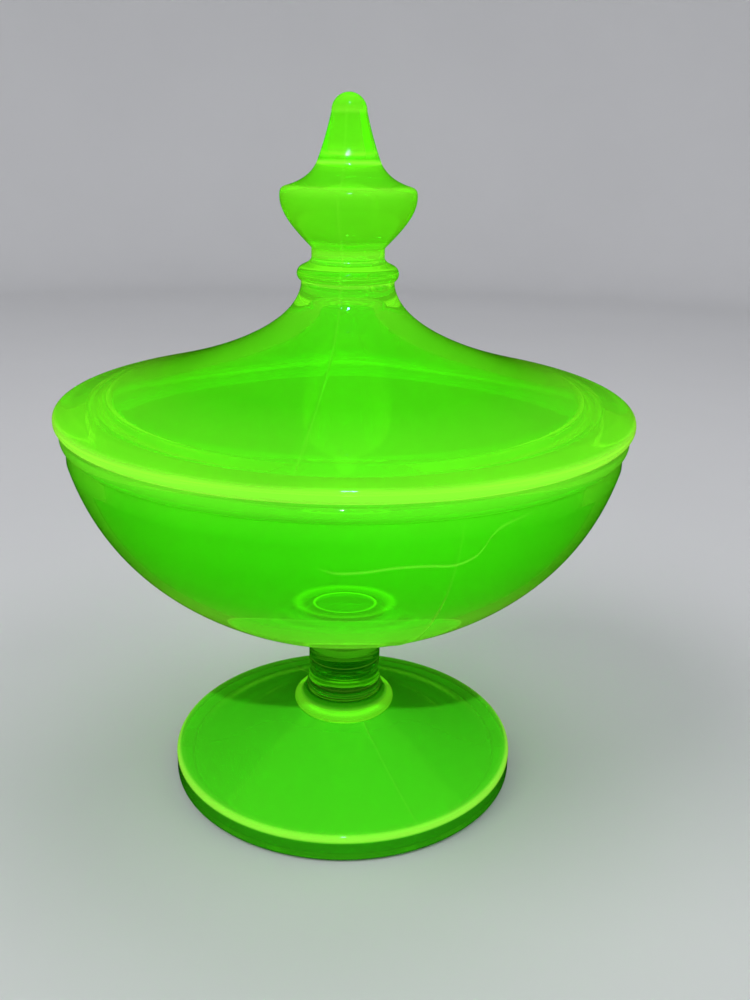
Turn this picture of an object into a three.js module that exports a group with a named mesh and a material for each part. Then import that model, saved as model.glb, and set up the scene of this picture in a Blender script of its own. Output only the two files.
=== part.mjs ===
// Covered uranium-glass candy dish: a footed bowl and a loose lid with a steeple finial.
// Every piece is a solid of revolution about Z. Millimetres, +Z up.
// The origin is on the table, under the middle of the foot.
import * as THREE from 'three';

// ---------- driving dimensions ----------
const SEGMENTS = 36;          // facets around each piece
const GAP = 0.3;              // clearance kept where two glass sections meet

const FOOT_RADIUS = 54.9;
const FOOT_EDGE_HEIGHT = 8.6; // top of the foot just inside its rounded edge
const FOOT_TOP = 20.6;        // where the domed foot meets the wafer
const FOOT_REST_INNER = 48.5; // inner radius of the ring that the foot stands on
const FOOT_HOLLOW_TOP = 12.6; // top of the hollow under the foot

const WAFER_RADIUS = 16.1;
const WAFER_TOP = 24.6;

const STEM_RADIUS = 11.4;
const STEM_FLARE_RADIUS = 14;
const STEM_FLARE_TOP = 33.5;
const STEM_TOP = 43.9;

const BOWL_RADIUS = 82.5;     // outside of the bowl's rim bead
const BOWL_TOP = 118.9;       // flat seat for the lid
const BOWL_BEAD_HEIGHT = 116.3;
const BOWL_BEAD_ROUND = 2.6;
const BOWL_MOUTH = 74.2;      // inside radius of the rim
const BOWL_FLOOR = 58.5;      // lowest point of the inside

const LID_RADIUS = 83.8;      // outside of the lid's brim
const LID_SEAT = BOWL_TOP + GAP;
const LID_SHOULDER_HEIGHT = 124.6;
const FLANGE_OUTER = 72.4;    // locating flange inside the bowl's mouth
const FLANGE_INNER = 68.2;
const FLANGE_BOTTOM = 113.2;
const LID_HOLLOW_TOP = 151.5;
const LID_NECK_RADIUS = 13.4;
const LID_NECK_TOP = 156;

const COLLAR_RADIUS = 14.6;
const COLLAR_HEIGHT = 159.3;  // middle of the collar's bead
const COLLAR_ROUND = 2.4;
const COLLAR_TOP = 163.4;

const FINIAL_NECK_RADIUS = 10.4;
const KNOB_RADIUS = 19.2;
const KNOB_HEIGHT = 180.3;
const STEEPLE_BASE_RADIUS = 8.9;
const STEEPLE_BASE_HEIGHT = 189.2;
const TIP_ROUND = 4.9;
const TIP_HEIGHT = 207.2;

// ---------- outline helpers: each returns points (radius, height) ----------
const point = (radius, height) => new THREE.Vector2(radius, height);

function arc(radius, height, round, fromDegrees, toDegrees, steps) {
  return Array.from({ length: steps + 1 }, (_, i) => {
    const angle = THREE.MathUtils.degToRad(fromDegrees + ((toDegrees - fromDegrees) * i) / steps);
    return point(radius + round * Math.cos(angle), height + round * Math.sin(angle));
  });
}

function curve(start, startHandle, endHandle, end, steps) {
  return new THREE.CubicBezierCurve(start, startHandle, endHandle, end).getPoints(steps);
}

function joined(...runs) {
  const outline = runs.flat();
  return outline.filter((p, i) => i === 0 || p.distanceTo(outline[i - 1]) > 1e-4);
}

// ---------- outlines, each counter-clockwise from the axis ----------
// Low bell-shaped foot with a rounded edge, hollow underneath.
function footOutline() {
  const round = 1.8;
  return joined(
    point(0, FOOT_HOLLOW_TOP),
    curve(point(0, FOOT_HOLLOW_TOP), point(22, FOOT_HOLLOW_TOP), point(36, 3.2),
      point(FOOT_REST_INNER, 0), 8),
    arc(FOOT_RADIUS - 1.6, 1.6, 1.6, -90, 0, 3),
    arc(FOOT_RADIUS - round, FOOT_EDGE_HEIGHT - round, round, 0, 80, 4),
    curve(point(52, FOOT_EDGE_HEIGHT + 0.1), point(42, 10.6), point(28, 15),
      point(15, FOOT_TOP), 6),
    point(0, FOOT_TOP),
  );
}

// Flattened wafer of glass that joins the stem to the foot.
function waferOutline() {
  const bottom = FOOT_TOP + GAP;
  const round = (WAFER_TOP - bottom) / 2;
  return joined(
    point(0, bottom),
    arc(WAFER_RADIUS - round, bottom + round, round, -90, 90, 6),
    point(0, WAFER_TOP),
  );
}

// Short plain stem that flares to the wafer.
function stemOutline() {
  const bottom = WAFER_TOP + GAP;
  return joined(
    point(0, bottom),
    curve(point(STEM_FLARE_RADIUS, bottom), point(12.4, 26.5), point(STEM_RADIUS, 29),
      point(STEM_RADIUS, STEM_FLARE_TOP), 5),
    point(STEM_RADIUS, STEM_TOP),
    point(0, STEM_TOP),
  );
}

// Deep bowl with a solid pad under it, a beaded rim and a flat seat for the lid.
function bowlOutline() {
  const bottom = STEM_TOP + GAP;
  const wallBottom = point(21.4, 52.9);
  return joined(
    point(0, bottom),
    curve(point(STEM_RADIUS, bottom), point(11.6, 48.5), point(15.9, 51), wallBottom, 4),
    curve(wallBottom, point(52.4, 63.6), point(73.7, 80.1), point(81, 109.3), 10),
    arc(BOWL_RADIUS - BOWL_BEAD_ROUND, BOWL_BEAD_HEIGHT, BOWL_BEAD_ROUND, -65, 90, 5),
    arc(BOWL_MOUTH + 1.4, BOWL_TOP - 1.4, 1.4, 90, 180, 3),
    curve(point(BOWL_MOUTH, 112), point(72, 84), point(48, 59), point(0, BOWL_FLOOR), 10),
  );
}

// Lid with a concave sweep, a rounded shoulder, a brim and a locating flange.
function lidOutline() {
  const shoulder = point(78.9, LID_SHOULDER_HEIGHT);
  const flangeRound = (FLANGE_OUTER - FLANGE_INNER) / 2;
  const brimRound = 1.6;
  return joined(
    point(0, LID_HOLLOW_TOP),
    curve(point(0, LID_HOLLOW_TOP), point(4.5, 151.5), point(7, 150.5), point(8, 147), 3),
    curve(point(8, 147), point(15.5, 138), point(47, 127.8), point(66, 123), 8),
    curve(point(66, 123), point(67.6, 122.5), point(FLANGE_INNER, 121.6),
      point(FLANGE_INNER, 120), 3),
    arc(FLANGE_INNER + flangeRound, FLANGE_BOTTOM + flangeRound, flangeRound, 180, 360, 4),
    point(FLANGE_OUTER, LID_SEAT - 0.8),
    point(FLANGE_OUTER + 0.8, LID_SEAT),
    arc(LID_RADIUS - brimRound, LID_SEAT + brimRound, brimRound, -90, 0, 3),
    curve(point(LID_RADIUS, 121.2), point(LID_RADIUS, 123), point(82.1, 123.8), shoulder, 4),
    curve(shoulder, point(50.5, 131.9), point(15.8, 140.9), point(LID_NECK_RADIUS, LID_NECK_TOP), 10),
    point(0, LID_NECK_TOP),
  );
}

// Beaded collar between the lid and its finial.
function collarOutline() {
  const bottom = LID_NECK_TOP + GAP;
  const bead = arc(COLLAR_RADIUS - COLLAR_ROUND, COLLAR_HEIGHT, COLLAR_ROUND, -60, 60, 5);
  return joined(
    point(0, bottom),
    point(LID_NECK_RADIUS, bottom),
    bead,
    curve(bead.at(-1), point(12.2, 162), point(10.9, 162.3), point(FINIAL_NECK_RADIUS, COLLAR_TOP), 3),
    point(0, COLLAR_TOP),
  );
}

// Solid finial: a waisted knob that sweeps up to a round-tipped steeple.
function finialOutline() {
  const bottom = COLLAR_TOP + GAP;
  return joined(
    point(0, bottom),
    point(FINIAL_NECK_RADIUS, bottom),
    curve(point(FINIAL_NECK_RADIUS, 166.4), point(15.2, 171.3), point(KNOB_RADIUS, 175.5),
      point(KNOB_RADIUS, KNOB_HEIGHT), 6),
    curve(point(KNOB_RADIUS, KNOB_HEIGHT), point(KNOB_RADIUS, 182.2), point(18.6, 182.6),
      point(17.3, 183), 3),
    curve(point(17.3, 183), point(13, 184.2), point(10.3, 186.3),
      point(STEEPLE_BASE_RADIUS, STEEPLE_BASE_HEIGHT), 4),
    curve(point(STEEPLE_BASE_RADIUS, STEEPLE_BASE_HEIGHT), point(7.2, 193.5), point(5.7, 198.5),
      point(TIP_ROUND, TIP_HEIGHT - TIP_ROUND), 4),
    arc(0, TIP_HEIGHT - TIP_ROUND, TIP_ROUND, 0, 90, 5).slice(0, -1),
    point(0, TIP_HEIGHT),
  );
}

// ---------- meshes ----------
function turned(name, outline, colour) {
  const geometry = new THREE.LatheGeometry(outline, SEGMENTS);
  geometry.rotateX(Math.PI / 2);
  const material = new THREE.MeshStandardMaterial({ color: colour, roughness: 0.06, metalness: 0 });
  const mesh = new THREE.Mesh(geometry, material);
  mesh.name = name;
  return mesh;
}

// The foot, wafer, stem and bowl are joined hot and stand together.
function base() {
  const group = new THREE.Group();
  group.add(turned('foot', footOutline(), 0x3ecb0b));
  group.add(turned('stem_wafer', waferOutline(), 0x62e71a));
  group.add(turned('stem', stemOutline(), 0x2f8a14));
  group.add(turned('bowl', bowlOutline(), 0x48d716));
  return group;
}

// The lid, its collar and the finial are one glass that lifts off the bowl.
function lid() {
  const group = new THREE.Group();
  group.add(turned('lid_dome', lidOutline(), 0x5ae90c));
  group.add(turned('lid_collar', collarOutline(), 0x5fec12));
  group.add(turned('lid_finial', finialOutline(), 0x58e806));
  return group;
}

const dish = new THREE.Group();
dish.add(base());
dish.add(lid());

export default dish;
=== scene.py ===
import math
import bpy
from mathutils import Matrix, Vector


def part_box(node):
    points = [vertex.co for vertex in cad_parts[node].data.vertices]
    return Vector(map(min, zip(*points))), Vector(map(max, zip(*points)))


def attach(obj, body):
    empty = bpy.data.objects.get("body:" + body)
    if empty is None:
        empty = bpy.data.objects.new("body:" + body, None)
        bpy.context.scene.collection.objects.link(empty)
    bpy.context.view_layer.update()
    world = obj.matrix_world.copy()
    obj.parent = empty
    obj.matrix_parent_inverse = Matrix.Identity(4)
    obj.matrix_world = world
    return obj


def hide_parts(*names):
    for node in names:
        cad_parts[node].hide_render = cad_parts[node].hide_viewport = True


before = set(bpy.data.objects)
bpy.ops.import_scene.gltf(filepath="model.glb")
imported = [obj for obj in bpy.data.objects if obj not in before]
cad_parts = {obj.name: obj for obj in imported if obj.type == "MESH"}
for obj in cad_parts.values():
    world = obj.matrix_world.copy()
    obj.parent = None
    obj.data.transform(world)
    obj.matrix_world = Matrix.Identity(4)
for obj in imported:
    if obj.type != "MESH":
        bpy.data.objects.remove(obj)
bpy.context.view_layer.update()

from types import SimpleNamespace

import bpy
from mathutils import Matrix, Vector

# Covered uranium-glass dish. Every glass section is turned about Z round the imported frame.
# Outlines are (radius, height) in millimetres; meshes are built in metres.
# Angles round the dish are measured from its front (-Y) towards +X.
MM = 0.001
ROUND_STEPS = 240


# ---------- sizes read from the frame ----------
def section(node):
    low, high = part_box(node)
    return SimpleNamespace(radius=high[0] / MM, bottom=low[2] / MM, top=high[2] / MM)


FOOT = section("foot")
WAFER = section("stem_wafer")
STEM = section("stem")
BOWL = section("bowl")
DOME = section("lid_dome")
COLLAR = section("lid_collar")
FINIAL = section("lid_finial")

# Sections of one glass meet at these heights, half way across the frame's gaps.
FOOT_JOIN = (FOOT.top + WAFER.bottom) / 2
STEM_JOIN = (WAFER.top + STEM.bottom) / 2
BOWL_JOIN = (STEM.top + BOWL.bottom) / 2
COLLAR_JOIN = (DOME.top + COLLAR.bottom) / 2
FINIAL_JOIN = (COLLAR.top + FINIAL.bottom) / 2

FOOT_JOIN_RADIUS = 15.0
STEM_FLARE = 14.0
STEM_RADIUS = 11.4
STEM_MARK_DEPTH = 0.02
STEM_MARK_WIDTH = 0.14
# Height of each turning mark on the stem, and the strength of the painted highlight along its crest.
STEM_MARKS = (
    (28.0, 0.04), (28.8, 0.05), (30.4, 0.06), (31.6, 0.02),
    (33.0, 0.02), (34.4, 0.015), (35.7, 0.015), (37.0, 0.015), (38.2, 0.08),
)
NECK_RADIUS = 13.4
FINIAL_NECK = 10.4
FOOT_HOLLOW_TOP = 12.6
FOOT_REST_INNER = 48.5
BOWL_MOUTH = 74.2
BOWL_FLOOR = 58.5
FLOOR_RING = 9.7       # radius of the pressed ring in the middle of the bowl's floor
FLANGE_OUTER = 72.4
FLANGE_INNER = 68.2
LID_SEAT = BOWL.top + 0.3
TIP_ROUND = 4.9


# ---------- outline helpers ----------
def arc(radius, height, bend, start, end, steps):
    """Points on a circle of radius bend, from start to end degrees."""
    angles = [math.radians(start + (end - start) * i / steps) for i in range(steps + 1)]
    return [(radius + bend * math.cos(a), height + bend * math.sin(a)) for a in angles]


def curve(p0, p1, p2, p3, steps):
    """Points on a cubic Bezier curve."""
    points = []
    for i in range(steps + 1):
        t = i / steps
        weights = ((1 - t) ** 3, 3 * (1 - t) ** 2 * t, 3 * (1 - t) * t * t, t**3)
        points.append(tuple(sum(w * p[axis] for w, p in zip(weights, (p0, p1, p2, p3))) for axis in (0, 1)))
    return points


def line(p0, p1, steps):
    return [tuple(a + (b - a) * i / steps for a, b in zip(p0, p1)) for i in range(steps + 1)]


def spread(values, share):
    """Value at a share of the way along evenly spaced values."""
    place = share * (len(values) - 1)
    index = min(int(place), len(values) - 2)
    return values[index] + (values[index + 1] - values[index]) * (place - index)


def run(points, painted_glow=(1, 1), edge=(0, 0), seam=False, fused=False):
    """A stretch of outline: its painted glow (below 1 also painted shade), its painted highlight, and whether
    a mould seam crosses it or it is a face fused to the next section."""
    last = max(len(points) - 1, 1)
    return [
        SimpleNamespace(
            r=r, z=z, painted_glow=spread(painted_glow, i / last), edge=spread(edge, i / last), seam=seam, fused=fused
        )
        for i, (r, z) in enumerate(points)
    ]


# ---------- outlines, each counter-clockwise from the axis ----------
def foot_outline():
    bend = 1.8
    rim = FOOT.radius - bend
    edge_height = 8.6 - bend
    hollow = curve((0, FOOT_HOLLOW_TOP), (22, FOOT_HOLLOW_TOP), (36, 3.2), (FOOT_REST_INNER, 0), 50)
    top = curve((52, 8.7), (42, 10.6), (28, 15), (FOOT_JOIN_RADIUS, FOOT_JOIN), 44)
    # Painted light and shade ring by ring: the flat rest ring is painted bright, the rim carries painted
    # highlights, and the low glow up the side is painted shade.
    return (
        run(hollow, (0.9, 0.9))
        + run(line((FOOT_REST_INNER, 0), (FOOT.radius - 1.6, 0), 6), (8, 8))
        + run(arc(FOOT.radius - 1.6, 1.6, 1.6, -90, 0, 8), (0.4, 0.2))
        + run(line((FOOT.radius, 1.6), (FOOT.radius, edge_height - 0.6), 4), (0.2, 0.2))
        + run(line((FOOT.radius, edge_height - 0.4), (FOOT.radius, edge_height), 1), (1, 1), (0.02, 0.3))
        + run(arc(rim, edge_height, bend, 0, 80, 12), (1, 1), (0.38, 0.38, 0.32, 0.05))
        + run(top, (1, 1, 1, 1), (0.01, 0, 0, 0), seam=True)
        + run([(0, FOOT_JOIN)], fused=True)
    )


def wafer_outline():
    middle = (FOOT_JOIN + STEM_JOIN) / 2
    bend = (WAFER.top - WAFER.bottom) / 2
    side = arc(WAFER.radius - bend, middle, bend, -70, 70, 18)
    # The wafer's side is painted brighter than the glass round it, with painted highlights.
    return (
        run([(0, FOOT_JOIN), (FOOT_JOIN_RADIUS, FOOT_JOIN)], fused=True)
        + run(side, (2, 1.6, 1.8), (0.06, 0.05, 0.02, 0.04, 0.04))
        + run([(STEM_FLARE, STEM_JOIN)], (1.8, 1.8), (0.03, 0.03))
        + run([(0, STEM_JOIN)], fused=True)
    )


def stem_outline():
    flare = curve((STEM_FLARE, STEM_JOIN), (12.4, 26.5), (STEM_RADIUS, 29), (STEM_RADIUS, 33.5), 70)
    side = line((STEM_RADIUS, 33.5), (STEM_RADIUS, BOWL_JOIN), 90)
    # Painted glow and shade: a bright band where the flare meets the wafer and at the top, and low glow up
    # the stem as painted shade.
    return (
        run([(0, STEM_JOIN), (STEM_FLARE, STEM_JOIN)], fused=True)
        + marked(run(flare, (16, 5, 0.3, 0.2, 0.2, 0.2, 0.2), (0.06, 0, 0, 0, 0, 0, 0)))
        + marked(run(side, (0.2, 0.2, 0.2, 0.2, 0.3, 3)))
        + run([(0, BOWL_JOIN)], fused=True)
    )


def marked(points):
    """Cuts the fine turning marks into a stretch of the stem, each with a painted highlight along its crest.
    """
    for point in points:
        for height, mark_highlight in STEM_MARKS:
            crest = math.exp(-(((point.z - height) / STEM_MARK_WIDTH) ** 2))
            point.r -= STEM_MARK_DEPTH * crest
            point.edge += mark_highlight * crest
    return points


def bowl_outline():
    wall = (21.4, 52.9)
    bead = 2.6
    lip = 1.4
    lower = curve((STEM_RADIUS, BOWL_JOIN), (11.6, 48.5), (15.9, 51), wall, 24)
    outside = curve(wall, (52.4, 63.6), (73.7, 80.1), (81, 109.3), 90)
    inside = curve((BOWL_MOUTH, 112), (72, 84), (48, 59), (0, BOWL_FLOOR), 200)
    pressed = [(r, z + floor_ring(r)) for r, z in inside]
    # Painted shade and glow: the lower end by the stem is painted dark, the outside wall is painted brighter
    # low down and dimmer higher up, the bead has painted highlights, and the middle of the floor is painted
    # bright with highlights round the pressed ring.
    return (
        run([(0, BOWL_JOIN), (STEM_RADIUS, BOWL_JOIN)], fused=True)
        + run(lower, (0.1, 0.1, 0.8, 1.6), (0, 0, 0.02, 0.1))
        + run(outside, (1.6, 1.5, 0.7, 0.65, 0.8), (0.1, 0.1, 0.1, 0.1, 0.09, 0.02, 0, 0), seam=True)
        + run(arc(BOWL.radius - bead, BOWL.top - bead, bead, -65, 90, 20), (1.3, 1.5), (0.02, 0.06, 0.1, 0.2))
        + run(line((BOWL.radius - bead, BOWL.top), (BOWL_MOUTH + lip, BOWL.top), 4), (1, 1))
        + run(arc(BOWL_MOUTH + lip, BOWL.top - lip, lip, 90, 180, 8), (1, 1))
        + run([p for p in pressed if p[0] > 17], (0.9, 1))
        + run([p for p in pressed if 11 < p[0] <= 17], (2.5, 3), (0, 0.55, 0.15, 0))
        + run([p for p in pressed if 8.4 < p[0] <= 11], (4, 5), (0, 0, 1.1, 0, 0))
        + run([p for p in pressed if p[0] <= 8.4], (6, 6))
    )


def floor_ring(radius):
    """Low ridge where the plunger pressed the middle of the bowl's floor."""
    ridge = 0.45 * math.exp(-(((radius - FLOOR_RING) / 0.7) ** 2))
    ripple = 0.12 * math.exp(-(((radius - FLOOR_RING - 5) / 1.6) ** 2))
    return ridge + ripple


def dome_outline():
    shoulder = (78.9, 124.6)
    bend = (FLANGE_OUTER - FLANGE_INNER) / 2
    brim = 1.6
    peak = curve((0, 151.5), (4.5, 151.5), (7, 150.5), (8, 147), 16)
    inside = curve((8, 147), (15.5, 138), (47, 127.8), (66, 123), 70)
    flange_in = curve((66, 123), (67.6, 122.5), (FLANGE_INNER, 121.6), (FLANGE_INNER, 120), 10)
    flange = arc(FLANGE_INNER + bend, DOME.bottom + bend, bend, 180, 360, 16)
    brim_out = curve((DOME.radius, 121.2), (DOME.radius, 123), (82.1, 123.8), shoulder, 16)
    outside = curve(shoulder, (50.5, 131.9), (15.8, 140.9), (NECK_RADIUS, 156), 100)
    # Painted glow and highlights: the flange, the brim underside and the lower edge of the lid glow brighter,
    # and the brim carries a painted highlight band.
    return (
        run(peak, (1, 1))
        + run(inside, (0.9, 0.9))
        + run(flange_in, (1.1, 1.6), (0, 0.02))
        + run(flange, (1.6, 1.6), (0.02, 0.05, 0.02))
        + run([(FLANGE_OUTER, LID_SEAT - 0.8), (FLANGE_OUTER + 0.8, LID_SEAT)], (1.2, 1.2))
        + run(line((FLANGE_OUTER + 0.8, LID_SEAT), (DOME.radius - brim, LID_SEAT), 6), (1.2, 1.2))
        + run(arc(DOME.radius - brim, LID_SEAT + brim, brim, -90, 0, 12), (1, 1), (0.25, 0.33, 0.33, 0.33))
        + run(brim_out, (1.3, 1.3), (0.33, 0.3, 0.1, 0.08, 0.08))
        + run(outside, (1.1, 0.95, 1, 1, 1, 1), (0.07, 0.05, 0.0, 0.0, 0.0, 0.02, 0.06), seam=True)
        + run([(NECK_RADIUS, COLLAR_JOIN)], (1, 1), (0.08, 0.08))
        + run([(0, COLLAR_JOIN)], fused=True)
    )


def collar_outline():
    bend = 2.4
    bead = arc(COLLAR.radius - bend, 159.3, bend, -60, 60, 22)
    cove = curve(bead[-1], (12.2, 162), (10.9, 162.3), (FINIAL_NECK, FINIAL_JOIN), 12)
    # The bead and the cove carry painted highlights along their rings.
    return (
        run([(0, COLLAR_JOIN), (NECK_RADIUS, COLLAR_JOIN)], fused=True)
        + run(bead, (1.2, 1.1), (0.14, 0.02, 0.01, 0.02, 0.06), seam=True)
        + run(cove, (1, 1), (0.02, 0.02, 0.12), seam=True)
        + run([(0, FINIAL_JOIN)], fused=True)
    )


def finial_outline():
    knob = (FINIAL.radius, 180.3)
    lip = (17.3, 183)
    steeple = (8.9, 189.2)
    tip = FINIAL.top - TIP_ROUND
    neck = line((FINIAL_NECK, FINIAL_JOIN), (FINIAL_NECK, 166.4), 5)
    knob_side = curve((FINIAL_NECK, 166.4), (15.2, 171.3), (FINIAL.radius, 175.5), knob, 34)
    knob_lip = curve(knob, (FINIAL.radius, 182.2), (18.6, 182.6), lip, 14)
    knob_top = curve(lip, (13, 184.2), (10.3, 186.3), steeple, 44)
    steeple_side = curve(steeple, (7.2, 193.5), (5.7, 198.5), (TIP_ROUND, tip), 60)
    # Painted highlights run round the neck, the knob's lip, the foot of the steeple and the tip, and the top
    # of the knob is painted a little darker.
    return (
        run([(0, FINIAL_JOIN), (FINIAL_NECK, FINIAL_JOIN)], fused=True)
        + run(neck, (1, 1), (0.14, 0.12, 0.02), seam=True)
        + run(knob_side, (0.8, 1, 1, 1.1), (0.05, 0, 0, 0, 0, 0.02), seam=True)
        + run(knob_lip, (1.1, 1.2), (0.03, 0.1, 0.14))
        + run(knob_top, (1, 0.7, 0.7, 1), (0.14, 0.02, 0, 0, 0, 0, 0, 0, 0, 0, 0, 0.35), seam=True)
        + run(steeple_side, (1.1, 1), (0.35, 0, 0.1, 0.05, 0, 0, 0, 0, 0, 0, 0, 0, 0, 0.1), seam=True)
        + run(arc(0, tip, TIP_ROUND, 0, 90, 16), (1, 1.1), (0.1, 0.02, 0.05, 0.1, 0.05))
    )


# ---------- turning an outline into a closed mesh ----------
SEAM_HEIGHT = 0.15     # how far a mould seam stands proud
SEAM_WIDTH = 0.3       # half width of a seam
SEAM_HIGHLIGHT = 0.03       # painted highlight along a seam
SHARP = math.radians(28)


def turning_angles(seams):
    """Even steps round the axis, with extra ones close to each seam."""
    angles = {round(2 * math.pi * i / ROUND_STEPS, 6) for i in range(ROUND_STEPS)}
    for seam in seams:
        for offset in (-1.2, -0.8, -0.4, -0.2, 0, 0.2, 0.4, 0.8, 1.2):
            angles.add(round(math.radians(seam + offset - 90) % (2 * math.pi), 6))
    return sorted(angles)


def without_repeats(outline):
    kept = [outline[0]]
    for point in outline[1:]:
        if math.hypot(point.r - kept[-1].r, point.z - kept[-1].z) > 1e-3:
            kept.append(point)
    return kept


def outward(points, i):
    before = points[max(i - 1, 0)]
    after = points[min(i + 1, len(points) - 1)]
    dr, dz = after.r - before.r, after.z - before.z
    length = math.hypot(dr, dz) or 1.0
    return dz / length, -dr / length


def seam_share(angle, radius, seams):
    """1 on the crest of a mould seam, falling to 0 beside it."""
    share = 0.0
    for seam in seams:
        turn = (angle - math.radians(seam - 90) + math.pi) % (2 * math.pi) - math.pi
        share += math.exp(-((turn * radius / SEAM_WIDTH) ** 2))
    return share


def ring_rows(points, seams, angles):
    """Vertices, painted glow and painted highlight values, and the vertex numbers of each ring."""
    widest = max(p.r for p in points)
    verts, painted_glows, painted_highlights, rings = [], [], [], []
    for i, p in enumerate(points):
        on_axis = p.r < 1e-6
        nr, nz = outward(points, i)
        rings.append(range(len(verts), len(verts) + (1 if on_axis else len(angles))))
        for angle in angles[:1] if on_axis else angles:
            share = seam_share(angle, p.r, seams) if p.seam else 0.0
            r = min(p.r + nr * share * SEAM_HEIGHT, widest)
            z = p.z + nz * share * SEAM_HEIGHT
            verts.append((r * math.cos(angle) * MM, r * math.sin(angle) * MM, z * MM))
            painted_glows.append(p.painted_glow)
            painted_highlights.append(p.edge + share * SEAM_HIGHLIGHT)
    return verts, painted_glows, painted_highlights, rings


def turned(name, outline, seams, angles, materials):
    points = without_repeats(outline)
    verts, painted_glows, painted_highlights, rings = ring_rows(points, seams, angles)
    faces, fused = [], []
    for low, high, p, q in zip(rings, rings[1:], points, points[1:]):
        for k in range(len(angles)):
            n = (k + 1) % len(angles)
            if len(low) == 1:
                faces.append((low[0], high[n], high[k]))
            elif len(high) == 1:
                faces.append((low[k], low[n], high[0]))
            else:
                faces.append((low[k], low[n], high[n], high[k]))
            fused.append(1 in (len(low), len(high)) and (p.fused or q.fused))

    mesh = bpy.data.meshes.new(name)
    mesh.from_pydata(verts, [], faces)
    for material in materials:
        mesh.materials.append(material)
    for face, is_fused in zip(mesh.polygons, fused):
        face.use_smooth = not is_fused
        face.material_index = int(is_fused)
    for attribute, values in (("painted_glow", painted_glows), ("edge", painted_highlights)):
        mesh.attributes.new(attribute, "FLOAT", "POINT").data.foreach_set("value", values)
    mesh.set_sharp_from_angle(angle=SHARP)
    mesh.validate()
    obj = bpy.data.objects.new(name, mesh)
    bpy.context.scene.collection.objects.link(obj)
    return obj


# ---------- node helpers ----------
class Graph:
    """A material with a Principled shader, and short ways to add nodes to it."""

    def __init__(self, name):
        self.material = bpy.data.materials.new(name)
        self.material.use_nodes = True
        self.nodes = self.material.node_tree.nodes
        self.links = self.material.node_tree.links
        self.nodes.clear()
        output = self.nodes.new("ShaderNodeOutputMaterial")
        self.shader = self.nodes.new("ShaderNodeBsdfPrincipled")
        self.links.new(self.shader.outputs[0], output.inputs["Surface"])
        self.coordinates = self.nodes.new("ShaderNodeTexCoord").outputs["Object"]

    def plug(self, value, socket):
        """Links a node's output to a socket, or sets the socket to a plain value."""
        if hasattr(value, "is_output"):
            self.links.new(value, socket)
        else:
            socket.default_value = value

    def noise(self, scale, detail=2.0, stretch=(1, 1, 1)):
        mapping = self.nodes.new("ShaderNodeMapping")
        mapping.inputs["Scale"].default_value = stretch
        self.links.new(self.coordinates, mapping.inputs["Vector"])
        texture = self.nodes.new("ShaderNodeTexNoise")
        texture.inputs["Scale"].default_value = scale
        texture.inputs["Detail"].default_value = detail
        self.links.new(mapping.outputs[0], texture.inputs["Vector"])
        return texture.outputs["Fac"]

    def remap(self, value, low, high, start=0.0, end=1.0):
        node = self.nodes.new("ShaderNodeMapRange")
        for socket, number in zip(("From Min", "From Max", "To Min", "To Max"), (start, end, low, high)):
            node.inputs[socket].default_value = number
        self.plug(value, node.inputs["Value"])
        return node.outputs["Result"]

    def math(self, operation, a, b=0.0):
        node = self.nodes.new("ShaderNodeMath")
        node.operation = operation
        self.plug(a, node.inputs[0])
        self.plug(b, node.inputs[1])
        return node.outputs[0]

    def blend(self, factor, low, high, mode="MIX"):
        node = self.nodes.new("ShaderNodeMix")
        node.data_type = "RGBA"
        node.blend_type = mode
        self.plug(factor, node.inputs[0])
        self.plug(low, node.inputs[6])
        self.plug(high, node.inputs[7])
        return node.outputs[2]

    def attribute(self, name):
        node = self.nodes.new("ShaderNodeAttribute")
        node.attribute_name = name
        return node.outputs["Fac"]


# ---------- materials ----------
# Colour of the painted highlights: bright lines added as glow along rims, rings and seams.
PAINTED_HIGHLIGHT_COLOUR = (0.57, 0.9, 0.1, 1)
PALE_SHARE = 1.15      # tint of the paler streaks in the glass
PAINTED_SHADE_SHARE = 0.4       # painted shade: share of the tint where the painted glow is low
# The fold in the bowl's wall: (angle from the front in degrees, height in mm).
CREASE = (
    (-5, 102.4), (-3.5, 101.5), (-1.5, 100.8), (2.5, 101.0), (9.2, 102.1), (14.5, 101.9),
    (19, 101.3), (22, 102.4), (24, 105.0), (25.2, 108.5), (27, 110.4), (30.5, 111.7), (34, 112.4),
)
CREASE_WIDTH = 0.3
WALL_MIDDLE = 75.8     # anything further out than this is on the outside of the bowl's wall


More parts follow.
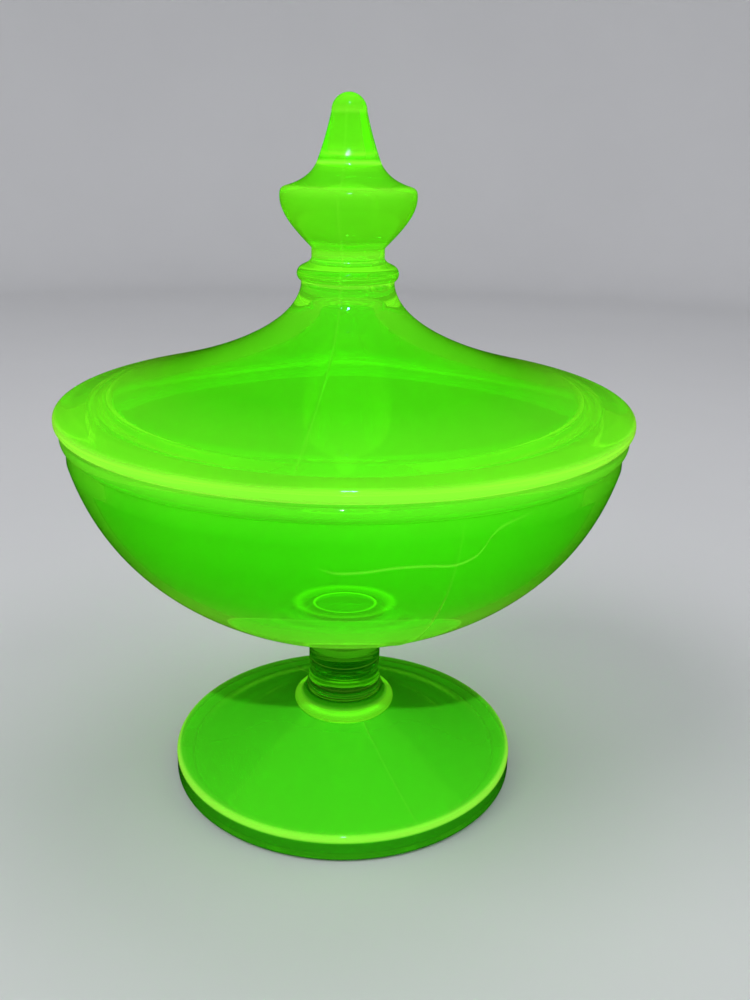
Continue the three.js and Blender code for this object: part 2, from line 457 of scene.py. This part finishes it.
def crease(graph):
    """1 along the fine fold in the outside of the bowl's wall, 0 away from it."""
    first, last = CREASE[0][0], CREASE[-1][0]
    low = min(z for _, z in CREASE) - 1
    high = max(z for _, z in CREASE) + 1
    split = graph.nodes.new("ShaderNodeSeparateXYZ")
    graph.links.new(graph.coordinates, split.inputs[0])
    x, y, z = split.outputs
    angle = graph.math("ARCTAN2", x, graph.math("MULTIPLY", y, -1.0))
    along = graph.remap(angle, 0.0, 1.0, math.radians(first), math.radians(last))
    path = graph.nodes.new("ShaderNodeFloatCurve")
    points = path.mapping.curves[0].points
    spots = [((a - first) / (last - first), (h - low) / (high - low)) for a, h in CREASE]
    points[0].location = spots[0]
    points[1].location = spots[-1]
    for spot in spots[1:-1]:
        points.new(*spot)
    path.mapping.update()
    graph.links.new(along, path.inputs["Value"])
    height = graph.remap(path.outputs[0], low * MM, high * MM)
    gap = graph.math("ABSOLUTE", graph.math("SUBTRACT", z, height))
    on_path = graph.remap(gap, 1.0, 0.0, 0.0, 2 * CREASE_WIDTH * MM)
    fade_in = graph.remap(along, 0.0, 1.0, 0.0, 0.12)
    fade_out = graph.remap(along, 1.0, 0.0, 0.7, 1.0)
    fade = graph.math("MULTIPLY", fade_in, fade_out)
    outside = graph.math("GREATER_THAN", radius_of(graph, x, y), WALL_MIDDLE * MM)
    return graph.math("MULTIPLY", graph.math("MULTIPLY", on_path, fade), outside)


def radius_of(graph, x, y):
    squares = graph.math("ADD", graph.math("MULTIPLY", x, x), graph.math("MULTIPLY", y, y))
    return graph.math("SQRT", squares)


def glass(name, tint, painted_glow_colour, painted_glow, clear, creased=False):
    """Fire-polished uranium glass: tinted and see-through, with a painted green glow in place of its
    fluorescence, painted highlights, and painted shade where the glow is low.
    """
    graph = Graph(name)
    shader = graph.shader
    shader.inputs["IOR"].default_value = 1.5
    shader.inputs["Transmission Weight"].default_value = clear
    shader.inputs["Coat Weight"].default_value = 0.06
    shader.inputs["Coat Roughness"].default_value = 0.06
    cords = graph.noise(16, 3, (1, 1, 0.6))
    ripple = graph.noise(55, 2)
    painted_glow_level = graph.attribute("painted_glow")
    edge = graph.attribute("edge")
    if creased:
        fold = crease(graph)
        # The fold is drawn as a painted highlight along it, besides its bump.
        edge = graph.math("ADD", edge, graph.math("MULTIPLY", fold, 0.16))

    pale = (*[min(c * PALE_SHARE, 1) for c in tint], 1)
    body = graph.blend(cords, (*tint, 1), pale)
    painted_shade_tint = (*[c * PAINTED_SHADE_SHARE for c in tint], 1)
    # Where the painted glow is low the base colour is darkened too: painted shade.
    graph.plug(graph.blend(graph.remap(painted_glow_level, 0.0, 1.0, 0.1, 0.8), painted_shade_tint, body), shader.inputs["Base Color"])
    graph.plug(graph.remap(ripple, 0.003, 0.015), shader.inputs["Roughness"])

    bump = graph.nodes.new("ShaderNodeBump")
    bump.inputs["Strength"].default_value = 0.2
    bump.inputs["Distance"].default_value = 0.02 * MM
    relief = graph.math("ADD", ripple, graph.math("MULTIPLY", fold, 8.0)) if creased else ripple
    graph.plug(relief, bump.inputs["Height"])
    graph.plug(bump.outputs["Normal"], shader.inputs["Normal"])

    # Emission is painted glow: it stands in for the glass's fluorescence and does not follow the lamps.
    strength = graph.math("MULTIPLY", painted_glow_level, graph.remap(cords, painted_glow * 0.75, painted_glow * 1.25, 0.3, 0.7))
    painted_body_glow = graph.blend(1.0, (*painted_glow_colour, 1), strength, "MULTIPLY")
    painted_highlight_glow = graph.blend(1.0, PAINTED_HIGHLIGHT_COLOUR, edge, "MULTIPLY")
    graph.plug(graph.blend(1.0, painted_body_glow, painted_highlight_glow, "ADD"), shader.inputs["Emission Color"])
    shader.inputs["Emission Strength"].default_value = 1.0
    return graph.material


def fused_join():
    """Where two sections are fused the glass is continuous, so light passes straight through."""
    graph = Graph("fused_join")
    graph.shader.inputs["Alpha"].default_value = 0.0
    return graph.material


def paper(name, low, high):
    graph = Graph(name)
    mottle = graph.noise(6, 4)
    graph.plug(graph.blend(mottle, (*low, 1), (*high, 1)), graph.shader.inputs["Base Color"])
    graph.shader.inputs["Roughness"].default_value = 0.6
    return graph.material


# ---------- camera ----------
def camera():
    data = bpy.data.cameras.new("camera")
    data.sensor_fit = "VERTICAL"
    data.sensor_height = 36
    data.lens = 36.1
    data.clip_start = 0.01
    obj = bpy.data.objects.new("camera", data)
    bpy.context.scene.collection.objects.link(obj)
    pitch, yaw, roll = (math.radians(a) for a in (19.75, -1.77, 1.13))
    distance, height = 3.52 * BOWL.radius, 2.365 * BOWL.radius
    turn = (
        Matrix.Rotation(yaw, 4, "Z")
        @ Matrix.Rotation(math.pi / 2 - pitch, 4, "X")
        @ Matrix.Rotation(roll, 4, "Z")
    )
    obj.matrix_world = Matrix.Translation((0, -distance * MM, height * MM)) @ turn
    bpy.context.scene.camera = obj


# ---------- studio ----------
def backdrop():
    """Pale round floor that curves up into a plain wall all the way round."""
    bend, wall, top, steps = 0.4, 1.5, 1.6, 96
    profile = [(0.3, 0.0), (0.8, 0.0)] + arc(wall - bend, bend, bend, -90, 0, 16) + [(wall, top)]
    turns = [2 * math.pi * k / steps for k in range(steps)]
    verts = [(0, 0, 0)] + [(r * math.cos(t), r * math.sin(t), z) for r, z in profile for t in turns]
    faces = [(0, 1 + k, 1 + (k + 1) % steps) for k in range(steps)]
    for row in range(len(profile) - 1):
        start = 1 + row * steps
        for k in range(steps):
            n = (k + 1) % steps
            faces.append((start + k, start + k + steps, start + n + steps, start + n))
    mesh = bpy.data.meshes.new("backdrop")
    mesh.from_pydata(verts, [], faces)
    for face in mesh.polygons:
        face.use_smooth = True
    mesh.materials.append(paper("backdrop", (0.64, 0.64, 0.65), (0.68, 0.68, 0.69)))
    obj = bpy.data.objects.new("backdrop", mesh)
    bpy.context.scene.collection.objects.link(obj)
    obj.visible_glossy = False


def area_light(name, place, target, size, power, colour=(1, 1, 1)):
    data = bpy.data.lights.new(name, "AREA")
    data.shape = "DISK"
    data.size = size
    data.energy = power
    data.color = colour
    obj = bpy.data.objects.new(name, data)
    obj.location = place
    obj.rotation_mode = "QUATERNION"
    obj.rotation_quaternion = (Vector(target) - Vector(place)).to_track_quat("-Z", "Y")
    bpy.context.scene.collection.objects.link(obj)
    return obj


def studio(glass_pieces):
    world = bpy.data.worlds.new("studio")
    bpy.context.scene.world = world
    world.use_nodes = True
    background = world.node_tree.nodes["Background"]
    background.inputs["Color"].default_value = (0.9, 0.93, 1, 1)
    background.inputs["Strength"].default_value = 0.45
    world.cycles_visibility.glossy = False
    middle = (0, 0, 0.1)
    for name, place, size, power in (
        ("soft_left", (-0.9, -0.5, 1.3), 1.0, 10),
        ("soft_right", (1.0, -0.3, 1.2), 1.0, 5),
        ("soft_back", (0.2, 0.3, 1.5), 0.8, 3),
    ):
        light = area_light(name, place, middle, size, power)
        light.visible_glossy = False
        light.visible_transmission = False
    # The ultraviolet lamp excites the glass and can't be seen; the torch only leaves small highlights.
    lamp = area_light("ultraviolet_lamp", (-0.02, -0.84, 0.855), (0, 0, 0.06), 0.024, 23.5, (0.6, 0.85, 1))
    lamp.visible_glossy = False
    torch = area_light("torch", (0.015, -0.42, 0.72), middle, 0.06, 0.5, (0.3, 0.5, 1))
    excited = bpy.data.collections.new("excited_glass")
    for piece in glass_pieces:
        excited.objects.link(piece)
    lamp.light_linking.receiver_collection = excited
    torch.light_linking.receiver_collection = excited


# ---------- the dish ----------
FOOT_SEAMS = (24, 204)
BOWL_SEAMS = (19.5, 199.5)
LID_SEAMS = (-8.5, 171.5)
GREEN = (0.13, 0.78, 0.012)
DEEP_GREEN = (0.08, 0.58, 0.01)

base_angles = turning_angles(FOOT_SEAMS + BOWL_SEAMS)
lid_angles = turning_angles(LID_SEAMS)
join = fused_join()
# node, body, outline, seams, angles, tint, painted glow colour, painted glow, clear
PIECES = (
    ("foot", "base", foot_outline, FOOT_SEAMS, base_angles, DEEP_GREEN, (0.1, 1, 0.004), 0.02, 0.62),
    ("stem_wafer", "base", wafer_outline, (), base_angles, GREEN, (0.25, 1, 0.01), 0.13, 0.75),
    # The stem's very low glow is painted shade.
    ("stem", "base", stem_outline, (), base_angles, GREEN, (0.2, 1, 0.02), 0.012, 0.96),
    ("bowl", "base", bowl_outline, BOWL_SEAMS, base_angles, GREEN, (0.18, 1, 0.008), 0.06, 0.88),
    ("lid_dome", "lid", dome_outline, LID_SEAMS, lid_angles, GREEN, (0.3, 1, 0.004), 0.065, 0.88),
    ("lid_collar", "lid", collar_outline, LID_SEAMS, lid_angles, GREEN, (0.24, 1, 0.003), 0.09, 0.88),
    ("lid_finial", "lid", finial_outline, LID_SEAMS, lid_angles, GREEN, (0.25, 1, 0.003), 0.135, 0.9),
)

camera()
backdrop()
glass_pieces = []
for node, body, outline, seams, angles, tint, painted_glow_colour, painted_glow, clear in PIECES:
    name = node + "_glass"
    material = glass(name, tint, painted_glow_colour, painted_glow, clear, creased=node == "bowl")
    piece = turned(name, outline(), seams, angles, (material, join))
    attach(piece, body)
    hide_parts(node)
    glass_pieces.append(piece)
studio(glass_pieces)

scene = bpy.context.scene
scene.view_settings.view_transform = "Standard"
scene.cycles.max_bounces = 18
scene.cycles.transmission_bounces = 16
scene.cycles.transparent_max_bounces = 16
